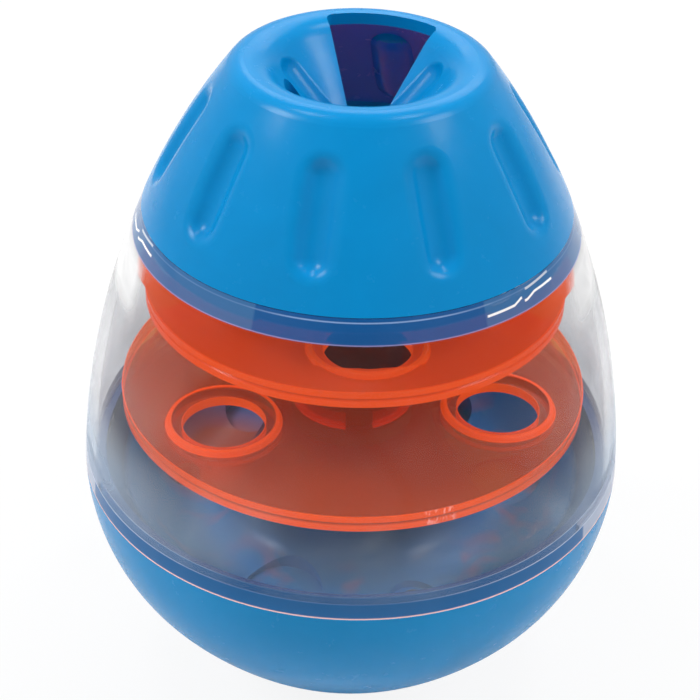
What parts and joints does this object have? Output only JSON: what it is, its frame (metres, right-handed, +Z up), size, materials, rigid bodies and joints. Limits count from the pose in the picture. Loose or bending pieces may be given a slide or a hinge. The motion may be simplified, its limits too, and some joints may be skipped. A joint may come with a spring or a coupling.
{
  "type": "rolling treat dispenser",
  "caption": "Weighted egg-shaped pet toy that rocks and rolls and drops treats from a crater in its twist-off cap, past turning discs inside a clear shell.",
  "frame": {"origin": "centre of the small flat foot that the object stands on", "axes": "+Z up along the axis that the shells, discs and post share, -Y towards the viewer of the front"},
  "size_m": [0.12, 0.12, 0.1529],
  "materials": {
    "blue_cap": "glossy moulded plastic",
    "blue_base": "glossy moulded plastic",
    "clear_plastic": "clear moulded plastic with a faint violet tint",
    "orange_plastic": "translucent orange moulded plastic",
    "iron_weight": "cast, painted dark grey",
    "steel": "zinc-plated"
  },
  "bodies": {
    "base": {"base_shell": "blue_base", "base_weight": "iron_weight", "weight_washer": "steel", "weight_screw": "steel", "base_floor": "blue_base", "floor_screws": "steel", "centre_post": "blue_base", "post_screw": "steel", "spacer_sleeve": "blue_base", "post_nut": "blue_base"},
    "shell": {"clear_shell": "clear_plastic"},
    "cap": {"top_cap": "blue_cap"},
    "lower_disc": {"lower_disc": "orange_plastic"},
    "upper_disc": {"upper_disc": "orange_plastic"}
  },
  "joints": [
    {"name": "shell_twist", "type": "hinge", "parent": "base", "child": "shell", "pos_m": [0, 0, 0.0588], "axis": [0, 0, 1], "range_deg": [0, 28]},
    {"name": "cap_twist", "type": "hinge", "parent": "shell", "child": "cap", "pos_m": [0, 0, 0.1208], "axis": [0, 0, 1], "range_deg": [0, 28]},
    {"name": "lower_disc_spin", "type": "hinge", "parent": "base", "child": "lower_disc", "pos_m": [0, 0, 0.08], "axis": [0, 0, 1], "continuous": true},
    {"name": "upper_disc_spin", "type": "hinge", "parent": "base", "child": "upper_disc", "pos_m": [0, 0, 0.1045], "axis": [0, 0, 1], "continuous": true}
  ]
}
